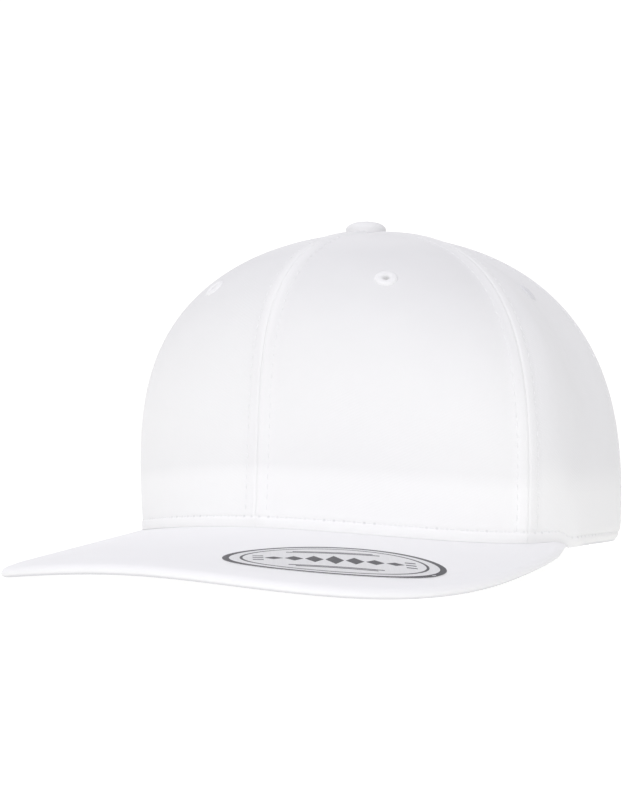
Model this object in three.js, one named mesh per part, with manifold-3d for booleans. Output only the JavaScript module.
import * as THREE from 'three';
import Module from 'manifold-3d';

const solids = await Module();
solids.setup();

// A white six-panel snapback cap at rest, in millimetres.
// +Z is up, the peak points along -Y and +X is the wearer's left.

// Crown
const CROWN_HALF_WIDTH = 84;
const CROWN_HALF_LENGTH = 95;
const CROWN_HEIGHT = 119.3;
const APEX_AHEAD = 20.2;
const SECTION_BOW = 22;
const FRONT_WALL = 1.6;
const SOFT_WALL = 1.3;
const SEAM_GAP = 0.3;
const HEM_CURL = 2.2;
const HEM_HEIGHT_SHARE = 0.06;
const RIM_FALL_POWER = 2.6;
const RIM_LEVEL_START = 3;
const RIM_LEVEL_END = 10;

// Seams between the panels, as azimuths from the front
const SIDE_SEAM_AZIMUTH = 56.9;
const REAR_SEAM_AZIMUTH = 120;

// Arched opening at the back
const ARCH_FOOT_AZIMUTH = 152;
const ARCH_HEIGHT = 56;

// Peak
const PEAK_LENGTH = 66.4;
const PEAK_THICKNESS = 3.8;
const PEAK_EDGE_RADIUS = 1.6;
const PEAK_ARCH_DROP = 11.2;
const PEAK_FALL = 0.113;
const PEAK_END_DROOP = 2.9;
const PEAK_END_AZIMUTH = 69.8;
const PEAK_OVERWIDTH_SHARE = 1.038;
const PEAK_WIDEST_SHARE = 0.723;
const PEAK_SIDE_ROUNDNESS = 2.94;
const PEAK_FRONT_ROUNDNESS = 2.63;
const PEAK_FRONT_SPAN = 0.7;

// Button
const BUTTON_DIAMETER = 14.6;
const BUTTON_HEIGHT = 4.6;
const BUTTON_POST_DIAMETER = 5;

// Eyelets
const EYELET_DIAMETER = 8.2;
const EYELET_BARREL_DIAMETER = 4.2;
const EYELET_HOLE_DIAMETER = 2.3;
const EYELET_RISE = 0.9;
const EYELET_HEIGHT_SHARE = 0.796;

// Sweatband
const SWEATBAND_HEIGHT = 32;
const SWEATBAND_THICKNESS = 1.1;

// Snap strap
const STRAP_HEIGHT = 20;
const STRAP_THICKNESS = 1.3;
const STRAP_OVERLAP_THICKNESS = 1;
const STRAP_OVERLAP_AZIMUTH = 12;
const STRAP_TUCK_AZIMUTH = 9;

// Oval sticker on the peak
const STICKER_LENGTH = 66.3;
const STICKER_WIDTH = 31.1;
const STICKER_THICKNESS = 0.3;
const STICKER_TURN = 35.7;
const STICKER_ASIDE = 48;
const STICKER_AHEAD = 29.4;

// Fineness of the facets
const PANEL_STEP_DEGREES = 7;
const PANEL_ROWS = 17;
const HEM_ROWS = 3;
const ARCH_COLUMNS = 6;
const PEAK_COLUMNS = 46;
const DROOP_COLUMNS = 2;
const PEAK_ROWS = 6;
const EDGE_STEPS = 3;
const ROUND_SEGMENTS = 16;
const BUTTON_SEGMENTS = 24;
const STICKER_SEGMENTS = 36;

// How the crown's plan and upright section change round the head.
// Reach is a share of the plan ellipse, curl a share of the hem's curl, and shoulder,
// dome and lean shape the upright section: its roundness at the top, how high it
// stays upright, and how far its middle falls in.
const CROWN_SECTIONS = [
  { azimuth: 0, reach: 0.963, shoulder: 2.15, dome: 4.72, lean: 0.021, curl: 0 },
  { azimuth: 58, reach: 1.061, shoulder: 2.1, dome: 3.45, lean: -0.019, curl: 0 },
  { azimuth: 90, reach: 1.0, shoulder: 2.23, dome: 2.44, lean: 0.027, curl: 0.9 },
  { azimuth: 125, reach: 0.959, shoulder: 2.23, dome: 2.82, lean: -0.025, curl: 0.8 },
  { azimuth: 180, reach: 1.005, shoulder: 1.91, dome: 3.2, lean: 0.004, curl: 0.3 },
];

// Eyelets, one in each panel
const EYELET_PLACES = [
  { name: 'eyelet_front', azimuth: 27.7 },
  { name: 'eyelet_side', azimuth: 89 },
  { name: 'eyelet_back', azimuth: 150 },
];

const FULL_TURN = 360;
const HALF_TURN = 180;
const radians = THREE.MathUtils.degToRad;
const lerp = THREE.MathUtils.lerp;

// Value of one column of the section table at any azimuth, smooth and the same on both sides
function section(azimuth, column) {
  const turned = Math.abs(azimuth);
  const place = turned > HALF_TURN ? FULL_TURN - turned : turned;
  const rows = CROWN_SECTIONS;
  const last = rows.length - 2;
  const found = rows.findIndex((row, index) => index > 0 && row.azimuth >= place) - 1;
  const index = Math.min(Math.max(found, 0), last);
  const [start, end] = [rows[index], rows[index + 1]];
  const slope = (at) => {
    if (at === 0 || at === rows.length - 1) return 0;
    const rise = rows[at + 1][column] - rows[at - 1][column];
    return rise / (rows[at + 1].azimuth - rows[at - 1].azimuth);
  };
  const span = end.azimuth - start.azimuth;
  const u = (place - start.azimuth) / span;
  const fromStart = (1 + 2 * u) * (1 - u) ** 2 * start[column] + u * (1 - u) ** 2 * span * slope(index);
  const fromEnd = u * u * (3 - 2 * u) * end[column] + u * u * (u - 1) * span * slope(index + 1);
  return fromStart + fromEnd;
}

// Distance of the crown's lower edge from the middle of its plan
function planReach(azimuth) {
  const across = Math.sin(radians(azimuth)) / CROWN_HALF_WIDTH;
  const along = Math.cos(radians(azimuth)) / CROWN_HALF_LENGTH;
  return section(azimuth, 'reach') / Math.hypot(across, along);
}

function planPoint(azimuth, inset = 0) {
  const reach = planReach(azimuth) - inset;
  return new THREE.Vector2(reach * Math.sin(radians(azimuth)), -reach * Math.cos(radians(azimuth)));
}

const CROWN_FRONT = planPoint(0).y;
const CROWN_BACK = planPoint(HALF_TURN).y;
const PEAK_END = planPoint(PEAK_END_AZIMUTH);

// Outline of the peak in plan, from one end (-1) by the front (0) to the other (1)
function peakOutline(place) {
  const halfWidth = CROWN_HALF_WIDTH * PEAK_OVERWIDTH_SHARE;
  const widest = CROWN_FRONT * PEAK_WIDEST_SHARE;
  const share = Math.abs(place);
  let [x, y] = [0, 0];
  if (share <= PEAK_FRONT_SPAN) {
    const angle = (share / PEAK_FRONT_SPAN) * (Math.PI / 2);
    x = halfWidth * Math.sin(angle) ** (2 / PEAK_SIDE_ROUNDNESS);
    y = lerp(widest, CROWN_FRONT - PEAK_LENGTH, Math.abs(Math.cos(angle)) ** (2 / PEAK_FRONT_ROUNDNESS));
  } else {
    const along = (share - PEAK_FRONT_SPAN) / (1 - PEAK_FRONT_SPAN);
    x = lerp(halfWidth, PEAK_END.x, along ** 2);
    y = lerp(widest, PEAK_END.y, along);
  }
  return new THREE.Vector2(Math.sign(place) * x, y);
}

// The peak's last columns at each side bend down, where the crown's lower edge pulls on them
const DROOP_AZIMUTH = PEAK_END_AZIMUTH * (1 - (2 * DROOP_COLUMNS) / PEAK_COLUMNS);
const DROOP_START = planPoint(DROOP_AZIMUTH);

// Height of the peak's top against its height at the crown's front: it arches across,
// falls forward and droops at its two ends
function peakRelief(x, y) {
  const bent = THREE.MathUtils.clamp((y - DROOP_START.y) / (PEAK_END.y - DROOP_START.y), 0, 1);
  const fall = PEAK_FALL * (y - CROWN_FRONT) - PEAK_END_DROOP * bent ** 2;
  return fall - PEAK_ARCH_DROP * (x / CROWN_HALF_WIDTH) ** 2;
}

// One line across the peak: from its root under the crown to its edge, and the edge's radius
function peakLine(column) {
  const place = (2 * column) / PEAK_COLUMNS - 1;
  const root = planPoint(place * PEAK_END_AZIMUTH, FRONT_WALL);
  const edge = peakOutline(place);
  const length = root.distanceTo(edge);
  const radius = Math.min(PEAK_EDGE_RADIUS, 0.45 * length, 0.45 * PEAK_THICKNESS);
  return { root, edge, length, radius };
}

// The lowest places lie where the underside starts to round up to the edge
function peakLowest() {
  let lowest = 0;
  for (let column = 0; column <= PEAK_COLUMNS; column += 1) {
    const line = peakLine(column);
    const place = line.edge.lerp(line.root, line.radius / line.length);
    lowest = Math.min(lowest, peakRelief(place.x, place.y));
  }
  return lowest;
}

// The peak's lowest points rest on the surface at z = 0
const PEAK_ROOT_HEIGHT = PEAK_THICKNESS - peakLowest();

function peakTop(x, y) {
  return PEAK_ROOT_HEIGHT + peakRelief(x, y);
}

// Height of the crown's lower edge: on the peak in front, level beside it, and down to the back
function rimHeight(azimuth) {
  const turned = Math.abs(azimuth) > HALF_TURN ? FULL_TURN - Math.abs(azimuth) : Math.abs(azimuth);
  const place = planPoint(turned);
  if (turned <= PEAK_END_AZIMUTH) return peakTop(place.x, place.y) + SEAM_GAP;
  const along = (place.y - PEAK_END.y) / (CROWN_BACK - PEAK_END.y);
  return (peakTop(PEAK_END.x, PEAK_END.y) + SEAM_GAP) * (1 - along ** RIM_FALL_POWER);
}

// How far the crown stands from its apex at a share of its height, as a share of its plan
function crownSpread(azimuth, share) {
  const upright = 1 - share ** section(azimuth, 'dome');
  const fallen = section(azimuth, 'lean') * 4 * share * (1 - share);
  const curl = Math.max(0, 1 - share / HEM_HEIGHT_SHARE) ** 2 * section(azimuth, 'curl') * HEM_CURL;
  return upright ** (1 / section(azimuth, 'shoulder')) - fallen - curl / planReach(azimuth);
}

// The middle of the crown's level sections bows backward on its way up, then forward to the apex
function crownPoint(azimuth, share) {
  const spread = crownSpread(azimuth, share);
  const edge = planPoint(azimuth);
  const height = lerp(rimHeight(azimuth), CROWN_HEIGHT, share);
  const bow = SECTION_BOW * spread * (1 - spread);
  return new THREE.Vector3(edge.x * spread, lerp(-APEX_AHEAD, edge.y, spread) + bow, height);
}

function crownNormal(azimuth, share) {
  const turn = 0.05;
  const climb = 0.0005;
  const low = Math.max(share - climb, 0);
  const high = Math.min(share + climb, 1);
  const round = crownPoint(azimuth + turn, share).sub(crownPoint(azimuth - turn, share));
  const up = crownPoint(azimuth, high).sub(crownPoint(azimuth, low));
  return round.cross(up).normalize();
}

// A point under the crown's outer surface; the lower edge follows the peak, then turns level
function crownInset(azimuth, share, depth) {
  const outer = crownPoint(azimuth, share);
  const inner = outer.clone().addScaledVector(crownNormal(azimuth, share), -depth);
  if (share > 0) return inner;
  const behind = Math.abs(azimuth) - PEAK_END_AZIMUTH;
  const onPeak = 1 - THREE.MathUtils.smoothstep(behind, RIM_LEVEL_START, RIM_LEVEL_END);
  inner.z = outer.z + onPeak * (peakTop(inner.x, inner.y) - peakTop(outer.x, outer.y));
  return inner;
}

// Share of the crown's height at which it is a given distance from the upright through its apex
function shareAtDistance(azimuth, distance) {
  let [low, high] = [0.5, 1];
  for (let step = 0; step < 40; step += 1) {
    const middle = (low + high) / 2;
    const place = crownPoint(azimuth, middle);
    if (Math.hypot(place.x, place.y + APEX_AHEAD) > distance) low = middle;
    else high = middle;
  }
  return low;
}

// Height of the crown at a distance from its apex, in a direction from the front
function crownHeightToward(direction, distance) {
  let [low, high] = [0, HALF_TURN];
  let place = null;
  for (let step = 0; step < 30; step += 1) {
    const azimuth = (low + high) / 2;
    place = crownPoint(azimuth, shareAtDistance(azimuth, distance));
    if (Math.atan2(place.x, -APEX_AHEAD - place.y) < radians(Math.abs(direction))) low = azimuth;
    else high = azimuth;
  }
  return place.z;
}

// Closed mesh from vertices and triangles, turned to face outward
function closedGeometry(vertices, triangles) {
  const [a, b, c] = [new THREE.Vector3(), new THREE.Vector3(), new THREE.Vector3()];
  let volume = 0;
  for (const triangle of triangles) {
    a.copy(vertices[triangle[0]]);
    b.copy(vertices[triangle[1]]);
    c.copy(vertices[triangle[2]]);
    volume += a.dot(b.cross(c));
  }
  const facing = volume > 0 ? triangles : triangles.map(([i, j, k]) => [i, k, j]);
  const geometry = new THREE.BufferGeometry();
  geometry.setAttribute('position', new THREE.Float32BufferAttribute(vertices.flatMap((v) => v.toArray()), 3));
  geometry.setIndex(facing.flat());
  geometry.computeVertexNormals();
  return geometry;
}

// Wall between two grids of points that have the same rows and columns
function wallGeometry(outer, inner) {
  const columns = outer.length;
  const rows = outer[0].length;
  const vertices = [...outer.flat(), ...inner.flat()];
  const at = (side, i, j) => side * columns * rows + i * rows + j;
  const triangles = [];
  const quad = (p, q, r, s) => triangles.push([p, q, r], [p, r, s]);
  for (let i = 0; i < columns - 1; i += 1) {
    for (let j = 0; j < rows - 1; j += 1) {
      quad(at(0, i, j), at(0, i + 1, j), at(0, i + 1, j + 1), at(0, i, j + 1));
      quad(at(1, i, j), at(1, i, j + 1), at(1, i + 1, j + 1), at(1, i + 1, j));
    }
    quad(at(1, i, 0), at(1, i + 1, 0), at(0, i + 1, 0), at(0, i, 0));
    quad(at(0, i, rows - 1), at(0, i + 1, rows - 1), at(1, i + 1, rows - 1), at(1, i, rows - 1));
  }
  for (let j = 0; j < rows - 1; j += 1) {
    quad(at(0, 0, j), at(0, 0, j + 1), at(1, 0, j + 1), at(1, 0, j));
    quad(at(1, columns - 1, j), at(1, columns - 1, j + 1), at(0, columns - 1, j + 1), at(0, columns - 1, j));
  }
  return closedGeometry(vertices, triangles);
}

// Round body from rings that all have the same number of points, closed at both ends
function ringGeometry(rings) {
  const count = rings[0].length;
  const middle = (ring) => ring.reduce((sum, v) => sum.add(v), new THREE.Vector3()).divideScalar(count);
  const vertices = [...rings.flat(), middle(rings[0]), middle(rings[rings.length - 1])];
  const [first, last] = [vertices.length - 2, vertices.length - 1];
  const triangles = [];
  for (let k = 0; k < count; k += 1) {
    const next = (k + 1) % count;
    for (let r = 0; r < rings.length - 1; r += 1) {
      const [low, high] = [r * count, (r + 1) * count];
      triangles.push([low + k, low + next, high + next], [low + k, high + next, high + k]);
    }
    const top = (rings.length - 1) * count;
    triangles.push([first, next, k], [last, top + k, top + next]);
  }
  return closedGeometry(vertices, triangles);
}

// Even stations between named stops, no further apart than the given step
function stations(stops, step) {
  const found = [stops[0]];
  for (let index = 1; index < stops.length; index += 1) {
    const [from, to] = [stops[index - 1], stops[index]];
    const parts = Math.max(1, Math.ceil(Math.abs(to - from) / step));
    for (let part = 1; part <= parts; part += 1) found.push(lerp(from, to, part / parts));
  }
  return found;
}

// Shares of the crown's height at the rows of its curled hem, the same in all that follow it
const hemShares = stations([0, HEM_HEIGHT_SHARE], HEM_HEIGHT_SHARE / HEM_ROWS);

// Columns of a panel on the wearer's left: an azimuth and the share of height where it starts
const plainColumns = (stops) => stations(stops, PANEL_STEP_DEGREES).map((azimuth) => ({ azimuth, start: 0 }));

// The back panel's columns climb over the arch, closely spaced at its foot
function backColumns() {
  const archTop = ARCH_HEIGHT / CROWN_HEIGHT;
  const folds = hemShares.slice(1).map((share) => Math.acos(share / archTop));
  const lastFold = folds[folds.length - 1];
  folds.push(...stations([lastFold, 0], lastFold / ARCH_COLUMNS).slice(1));
  const columns = plainColumns([REAR_SEAM_AZIMUTH, ARCH_FOOT_AZIMUTH]);
  for (const fold of folds) {
    const azimuth = HALF_TURN - (HALF_TURN - ARCH_FOOT_AZIMUTH) * Math.sin(fold);
    columns.push({ azimuth, start: archTop * Math.cos(fold) });
  }
  return columns;
}

// Share of a panel's height at one of its rows: close at the hem and towards the top
function panelClimb(row) {
  if (row <= HEM_ROWS) return hemShares[row];
  const rest = (row - HEM_ROWS) / (PANEL_ROWS - HEM_ROWS);
  return lerp(HEM_HEIGHT_SHARE, 1, 1 - (1 - rest) ** 1.9);
}

// One panel of cloth, with half a seam's gap at each side and a small hole under the button
function panelGeometry(columns, wall) {
  const hole = BUTTON_POST_DIAMETER / 2 + SEAM_GAP;
  const first = columns[0].azimuth;
  const end = columns[columns.length - 1].azimuth;
  const [outer, inner] = [[], []];
  for (const column of columns) {
    const top = shareAtDistance(column.azimuth, hole);
    const [outerRow, innerRow] = [[], []];
    for (let row = 0; row <= PANEL_ROWS; row += 1) {
      const share = lerp(column.start, top, panelClimb(row));
      const local = planReach(column.azimuth) * crownSpread(column.azimuth, share);
      const half = THREE.MathUtils.radToDeg(SEAM_GAP / 2 / local);
      const azimuth = lerp(first + half, end - half, (column.azimuth - first) / (end - first));
      outerRow.push(crownPoint(azimuth, share));
      innerRow.push(crownInset(azimuth, share, wall));
    }
    outer.push(outerRow);
    inner.push(innerRow);
  }
  return wallGeometry(outer, inner);
}

// Frame of an eyelet: its centre on the crown and the directions round it
function eyeletFrame(azimuth) {
  const centre = crownPoint(azimuth, EYELET_HEIGHT_SHARE);
  const outward = crownNormal(azimuth, EYELET_HEIGHT_SHARE);
  const level = new THREE.Vector3(0, 0, 1).cross(outward).normalize();
  const upward = outward.clone().cross(level);
  return { centre, outward, level, upward };
}

function eyeletRing(frame, radius, height) {
  const ring = [];
  for (let k = 0; k < ROUND_SEGMENTS; k += 1) {
    const angle = (k / ROUND_SEGMENTS) * 2 * Math.PI;
    const point = frame.centre.clone().addScaledVector(frame.outward, height);
    point.addScaledVector(frame.level, radius * Math.cos(angle));
    point.addScaledVector(frame.upward, radius * Math.sin(angle));
    ring.push(point);
  }
  return ring;
}

// Stitched eyelet: a padded ring on the cloth with a barrel through it
function eyeletGeometry(azimuth, wall) {
  const frame = eyeletFrame(azimuth);
  const [edge, barrel, bore] = [EYELET_DIAMETER / 2, EYELET_BARREL_DIAMETER / 2, EYELET_HOLE_DIAMETER / 2];
  const profile = [
    [bore, -wall],
    [barrel, -wall],
    [barrel, SEAM_GAP],
    [edge, SEAM_GAP],
    [edge, lerp(SEAM_GAP, EYELET_RISE, 0.45)],
    [lerp(barrel, edge, 0.6), EYELET_RISE],
    [lerp(bore, barrel, 0.5), EYELET_RISE],
    [bore, lerp(SEAM_GAP, EYELET_RISE, 0.3)],
  ];
  const rings = profile.map(([radius, height]) => eyeletRing(frame, radius, height));
  const vertices = rings.flat();
  const triangles = [];
  for (let r = 0; r < rings.length; r += 1) {
    const [low, high] = [r * ROUND_SEGMENTS, ((r + 1) % rings.length) * ROUND_SEGMENTS];
    for (let k = 0; k < ROUND_SEGMENTS; k += 1) {
      const next = (k + 1) % ROUND_SEGMENTS;
      triangles.push([low + k, low + next, high + next], [low + k, high + next, high + k]);
    }
  }
  return closedGeometry(vertices, triangles);
}

function toSolid(geometry) {
  const vertProperties = Float32Array.from(geometry.attributes.position.array);
  const triVerts = Uint32Array.from(geometry.index.array);
  return new solids.Manifold(new solids.Mesh({ numProp: 3, vertProperties, triVerts }));
}

function fromSolid(solid) {
  const mesh = solid.getMesh();
  const geometry = new THREE.BufferGeometry();
  geometry.setAttribute('position', new THREE.Float32BufferAttribute(mesh.vertProperties, 3));
  geometry.setIndex(Array.from(mesh.triVerts));
  geometry.computeVertexNormals();
  return geometry;
}

// Panel with the round hole that its eyelet passes through
function piercedPanel(columns, wall, eyeletAzimuth) {
  const frame = eyeletFrame(eyeletAzimuth);
  const radius = EYELET_BARREL_DIAMETER / 2 + SEAM_GAP;
  const drill = ringGeometry([eyeletRing(frame, radius, -3 * wall), eyeletRing(frame, radius, 2 * wall)]);
  return fromSolid(toSolid(panelGeometry(columns, wall)).subtract(toSolid(drill)));
}

// The same shape on the wearer's right
function mirrored(geometry) {
  const other = geometry.clone();
  other.scale(-1, 1, 1);
  const index = Array.from(other.index.array);
  for (let k = 0; k < index.length; k += 3) [index[k + 1], index[k + 2]] = [index[k + 2], index[k + 1]];
  other.setIndex(index);
  other.computeVertexNormals();
  return other;
}

// The peak: a stiff arched board with a rounded edge, tucked under the front of the crown
function peakGeometry() {
  const [top, bottom] = [[], []];
  for (let column = 0; column <= PEAK_COLUMNS; column += 1) {
    const { root, edge, length, radius } = peakLine(column);
    const [topRow, bottomRow] = [[], []];
    const addPair = (distance, drop) => {
      const at = root.clone().lerp(edge, distance / length);
      const height = peakTop(at.x, at.y);
      topRow.push(new THREE.Vector3(at.x, at.y, height - drop));
      bottomRow.push(new THREE.Vector3(at.x, at.y, height - PEAK_THICKNESS + drop));
    };
    for (let row = 0; row <= PEAK_ROWS; row += 1) addPair(((length - radius) * row) / PEAK_ROWS, 0);
    for (let step = 1; step <= EDGE_STEPS; step += 1) {
      const angle = (Math.PI / 2) * (step / EDGE_STEPS);
      addPair(length - radius + radius * Math.sin(angle), radius * (1 - Math.cos(angle)));
    }
    top.push(topRow);
    bottom.push(bottomRow);
  }
  return wallGeometry(top, bottom);
}

// Button at the apex: a covered dome that follows the crown under its rim, with a plain post
function buttonGeometry() {
  const radius = BUTTON_DIAMETER / 2;
  const post = BUTTON_POST_DIAMETER / 2;
  const ring = (distance, height) => {
    const points = [];
    for (let k = 0; k < BUTTON_SEGMENTS; k += 1) {
      const direction = (k / BUTTON_SEGMENTS) * FULL_TURN - HALF_TURN;
      const [aside, ahead] = [Math.sin(radians(direction)), Math.cos(radians(direction))];
      const z = height(crownHeightToward(direction, distance) + SEAM_GAP);
      points.push(new THREE.Vector3(aside * distance, -APEX_AHEAD - ahead * distance, z));
    }
    return points;
  };
  const crest = CROWN_HEIGHT + BUTTON_HEIGHT;
  const rings = [
    ring(post, () => CROWN_HEIGHT - FRONT_WALL),
    ring(post, (crown) => crown),
    ring(0.93 * radius, (crown) => crown),
    ring(radius, (crown) => lerp(crown, crest, 0.12)),
    ring(radius, (crown) => lerp(crown, crest, 0.38)),
    ring(0.92 * radius, () => lerp(CROWN_HEIGHT, crest, 0.7)),
    ring(0.7 * radius, () => lerp(CROWN_HEIGHT, crest, 0.88)),
    ring(0.38 * radius, () => lerp(CROWN_HEIGHT, crest, 0.98)),
  ];
  return ringGeometry(rings);
}

// Sweatband: a strip of cloth inside the lower edge, from one side of the arch to the other
function sweatbandGeometry() {
  const end = ARCH_FOOT_AZIMUTH - STRAP_TUCK_AZIMUTH - 1;
  const stops = [-end, -PEAK_END_AZIMUTH, 0, PEAK_END_AZIMUTH, end];
  const shares = [...hemShares, ...stations([HEM_HEIGHT_SHARE, SWEATBAND_HEIGHT / CROWN_HEIGHT], 0.15).slice(1)];
  const depth = FRONT_WALL + 1.2 * SEAM_GAP;
  const fall = 0.75 * PEAK_THICKNESS;
  const point = (azimuth, share, inset) => {
    const found = crownInset(azimuth, share, inset);
    if (share === 0 && Math.abs(azimuth) < PEAK_END_AZIMUTH) found.z -= fall;
    return found;
  };
  const columns = stations(stops, PANEL_STEP_DEGREES);
  const grid = (inset) => columns.map((azimuth) => shares.map((share) => point(azimuth, share, inset)));
  return wallGeometry(grid(depth), grid(depth + SWEATBAND_THICKNESS));
}

// Snap strap: one fastened band across the arch, thicker where its two ends overlap
function strapGeometry() {
  const start = ARCH_FOOT_AZIMUTH - STRAP_TUCK_AZIMUTH;
  const [lapStart, lapEnd] = [HALF_TURN - STRAP_OVERLAP_AZIMUTH, HALF_TURN + STRAP_OVERLAP_AZIMUTH];
  const stops = [start, lapStart, lapStart + 0.6, lapEnd - 0.6, lapEnd, FULL_TURN - start];
  const columns = stations(stops, PANEL_STEP_DEGREES);
  const shares = [...hemShares, ...stations([HEM_HEIGHT_SHARE, STRAP_HEIGHT / CROWN_HEIGHT], 0.1).slice(1)];
  const depth = SOFT_WALL + SEAM_GAP;
  const lapped = (azimuth) => azimuth > lapStart && azimuth < lapEnd;
  const lap = (azimuth) => (lapped(azimuth) ? STRAP_OVERLAP_THICKNESS : 0);
  const grid = (inset) => columns.map((azimuth) => shares.map((share) => crownInset(azimuth, share, inset(azimuth))));
  return wallGeometry(grid(() => depth), grid((azimuth) => depth + STRAP_THICKNESS + lap(azimuth)));
}

// Oval sticker that lies on the peak, beside its middle
function stickerGeometry() {
  const turn = radians(STICKER_TURN);
  const place = new THREE.Vector2(STICKER_ASIDE, CROWN_FRONT - STICKER_AHEAD);
  const ring = (share, lift) => {
    const points = [];
    for (let k = 0; k < STICKER_SEGMENTS; k += 1) {
      const angle = (k / STICKER_SEGMENTS) * 2 * Math.PI;
      const along = (STICKER_LENGTH / 2) * share * Math.cos(angle);
      const across = (STICKER_WIDTH / 2) * share * Math.sin(angle);
      const x = place.x + along * Math.cos(turn) - across * Math.sin(turn);
      const y = place.y + along * Math.sin(turn) + across * Math.cos(turn);
      points.push(new THREE.Vector3(x, y, peakTop(x, y) + SEAM_GAP + lift));
    }
    return points;
  };
  const under = [0.35, 0.7, 1].map((share) => ring(share, 0));
  const over = [1, 0.7, 0.35].map((share) => ring(share, STICKER_THICKNESS));
  return ringGeometry([...under, ...over]);
}

const MATERIALS = {
  panel: { color: '#F1F1F3', roughness: 0.9, metalness: 0 },
  softPanel: { color: '#E9E9EC', roughness: 0.92, metalness: 0 },
  peak: { color: '#F3F3F5', roughness: 0.88, metalness: 0 },
  button: { color: '#EEEEF1', roughness: 0.9, metalness: 0 },
  thread: { color: '#F5F5F6', roughness: 0.75, metalness: 0 },
  sweatband: { color: '#ECECEE', roughness: 0.95, metalness: 0 },
  strap: { color: '#F4F4F4', roughness: 0.45, metalness: 0 },
  sticker: { color: '#A9AAAD', roughness: 0.35, metalness: 0.2 },
};

const cap = new THREE.Group();
cap.name = 'snapback_cap';

function addPiece(name, geometry, finish) {
  const mesh = new THREE.Mesh(geometry, new THREE.MeshStandardMaterial(MATERIALS[finish]));
  mesh.name = name;
  cap.add(mesh);
}

function addPair(name, geometry, finish) {
  addPiece(`${name}_left`, geometry, finish);
  addPiece(`${name}_right`, mirrored(geometry), finish);
}

const [frontEye, sideEye, backEye] = EYELET_PLACES.map((place) => place.azimuth);
const frontColumns = plainColumns([0, SIDE_SEAM_AZIMUTH]);
const droopAzimuths = stations([DROOP_AZIMUTH, PEAK_END_AZIMUTH], (2 * PEAK_END_AZIMUTH) / PEAK_COLUMNS);
const sideColumns = plainColumns([SIDE_SEAM_AZIMUTH, ...droopAzimuths, REAR_SEAM_AZIMUTH]);
addPair('panel_front', piercedPanel(frontColumns, FRONT_WALL, frontEye), 'panel');
addPair('panel_side', piercedPanel(sideColumns, SOFT_WALL, sideEye), 'softPanel');
addPair('panel_back', piercedPanel(backColumns(), SOFT_WALL, backEye), 'softPanel');
EYELET_PLACES.forEach((place, index) => {
  const wall = index === 0 ? FRONT_WALL : SOFT_WALL;
  addPair(place.name, eyeletGeometry(place.azimuth, wall), 'thread');
});
addPiece('button', buttonGeometry(), 'button');
addPiece('peak', peakGeometry(), 'peak');
addPiece('sweatband', sweatbandGeometry(), 'sweatband');
addPiece('snap_strap', strapGeometry(), 'strap');
addPiece('sticker', stickerGeometry(), 'sticker');

// The cap stands on z = 0, with the middle of its length and width over the origin
const extent = new THREE.Box3().setFromObject(cap);
const middleLength = (extent.min.y + extent.max.y) / 2;
for (const mesh of cap.children) mesh.geometry.translate(0, -middleLength, -extent.min.z);

export default cap;
